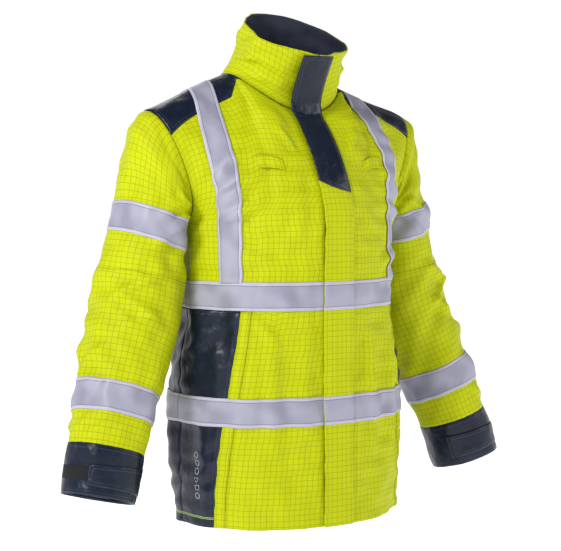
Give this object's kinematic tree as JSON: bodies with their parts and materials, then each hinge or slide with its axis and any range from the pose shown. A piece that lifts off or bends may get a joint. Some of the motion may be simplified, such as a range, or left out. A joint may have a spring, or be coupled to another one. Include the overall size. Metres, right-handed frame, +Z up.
{
  "type": "high-visibility parka",
  "caption": "Waterproof high-visibility parka, yellow with navy shoulders, cuffs and side panels, reflective tapes, stand collar and storm flap over a zip.",
  "frame": {"origin": "centre of the hanging loop inside the back of the neck", "axes": "+Z up, -Y the wearer's front, +X the wearer's left"},
  "size_m": [0.9242, 0.3344, 0.896],
  "materials": {
    "hi_vis_fabric": "matte",
    "navy_fabric": "satin",
    "reflective_tape": "satin",
    "hook_and_loop": "matte",
    "lining_fabric": "matte",
    "zip_plastic": "matte",
    "zip_metal": "satin"
  },
  "bodies": {
    "body": {"left_front_skirt": "hi_vis_fabric", "right_front_skirt": "hi_vis_fabric", "left_pocket_welt": "hi_vis_fabric", "right_pocket_welt": "hi_vis_fabric", "left_side_panel_front": "navy_fabric", "right_side_panel_front": "navy_fabric", "left_side_panel_back": "navy_fabric", "right_side_panel_back": "navy_fabric", "lower_back": "hi_vis_fabric", "left_chest": "hi_vis_fabric", "right_chest": "hi_vis_fabric", "upper_back": "hi_vis_fabric", "left_shoulder_yoke": "navy_fabric", "right_shoulder_yoke": "navy_fabric", "body_lining": "lining_fabric", "collar_outer": "hi_vis_fabric", "collar_lining": "lining_fabric", "throat_flap": "navy_fabric", "waist_tape_left": "reflective_tape", "waist_tape_right": "reflective_tape", "waist_tape_back": "reflective_tape", "hip_tape_left": "reflective_tape", "hip_tape_right": "reflective_tape", "hip_tape_back": "reflective_tape", "left_brace_tape": "reflective_tape", "right_brace_tape": "reflective_tape", "left_zip_half": "zip_plastic", "right_zip_half": "zip_plastic", "flap_loop_strip": "hook_and_loop", "left_pocket_bag": "lining_fabric", "right_pocket_bag": "lining_fabric", "left_chest_loop": "hi_vis_fabric", "right_chest_loop": "hi_vis_fabric", "hanging_loop": "lining_fabric", "left_sleeve_cap": "hi_vis_fabric", "right_sleeve_cap": "hi_vis_fabric"},
    "storm_flap": {"storm_flap": "hi_vis_fabric", "waist_tape_flap": "reflective_tape", "hip_tape_flap": "reflective_tape", "flap_hook_strip": "hook_and_loop"},
    "zip_slider": {"zip_slider": "zip_metal"},
    "zip_pull": {"zip_pull": "zip_metal"},
    "left_upper_arm": {"left_upper_sleeve": "hi_vis_fabric", "left_upper_sleeve_tape": "reflective_tape", "left_elbow": "hi_vis_fabric"},
    "left_lower_arm": {"left_forearm": "hi_vis_fabric", "left_lower_sleeve_tape": "reflective_tape", "left_cuff": "navy_fabric", "left_cuff_loop_patch": "hook_and_loop"},
    "left_cuff_tab": {"left_cuff_tab": "navy_fabric"},
    "right_upper_arm": {"right_upper_sleeve": "hi_vis_fabric", "right_upper_sleeve_tape": "reflective_tape", "right_elbow": "hi_vis_fabric"},
    "right_lower_arm": {"right_forearm": "hi_vis_fabric", "right_lower_sleeve_tape": "reflective_tape", "right_cuff": "navy_fabric", "right_cuff_loop_patch": "hook_and_loop"},
    "right_cuff_tab": {"right_cuff_tab": "navy_fabric"}
  },
  "joints": [
    {"name": "storm_flap_hinge", "type": "hinge", "parent": "body", "child": "storm_flap", "pos_m": [0.0324, -0.2579, -0.48], "axis": [0, 0, 1], "range_deg": [0, 120]},
    {"name": "zip_slide", "type": "slide", "parent": "body", "child": "zip_slider", "axis": [0, 0, -1], "range_m": [0, 0.44]},
    {"name": "zip_pull_swing", "type": "hinge", "parent": "zip_slider", "child": "zip_pull", "pos_m": [0, -0.2564, -0.2855], "axis": [0, -1, 0], "range_deg": [-10, 40]},
    {"name": "left_shoulder", "type": "hinge", "parent": "body", "child": "left_upper_arm", "pos_m": [0.254, -0.049, -0.212], "axis": [-1, 0, 0], "range_deg": [-20, 35], "deforming": ["left_sleeve_cap"]},
    {"name": "left_elbow_bend", "type": "hinge", "parent": "left_upper_arm", "child": "left_lower_arm", "pos_m": [0.2967, -0.0574, -0.414], "axis": [-1, 0, 0], "range_deg": [0, 70], "deforming": ["left_elbow"]},
    {"name": "left_cuff_tab_hinge", "type": "hinge", "parent": "left_lower_arm", "child": "left_cuff_tab", "pos_m": [0.33587, -0.14764, -0.69421], "axis": [0.275, -0.1153, -0.9545], "range_deg": [0, 50]},
    {"name": "right_shoulder", "type": "hinge", "parent": "body", "child": "right_upper_arm", "pos_m": [-0.254, -0.049, -0.212], "axis": [-1, 0, 0], "range_deg": [-20, 35], "deforming": ["right_sleeve_cap"]},
    {"name": "right_elbow_bend", "type": "hinge", "parent": "right_upper_arm", "child": "right_lower_arm", "pos_m": [-0.2967, -0.0574, -0.414], "axis": [-1, 0, 0], "range_deg": [0, 70], "deforming": ["right_elbow"]},
    {"name": "right_cuff_tab_hinge", "type": "hinge", "parent": "right_lower_arm", "child": "right_cuff_tab", "pos_m": [-0.33587, -0.14764, -0.69421], "axis": [0.275, 0.1153, 0.9545], "range_deg": [0, 50]}
  ]
}
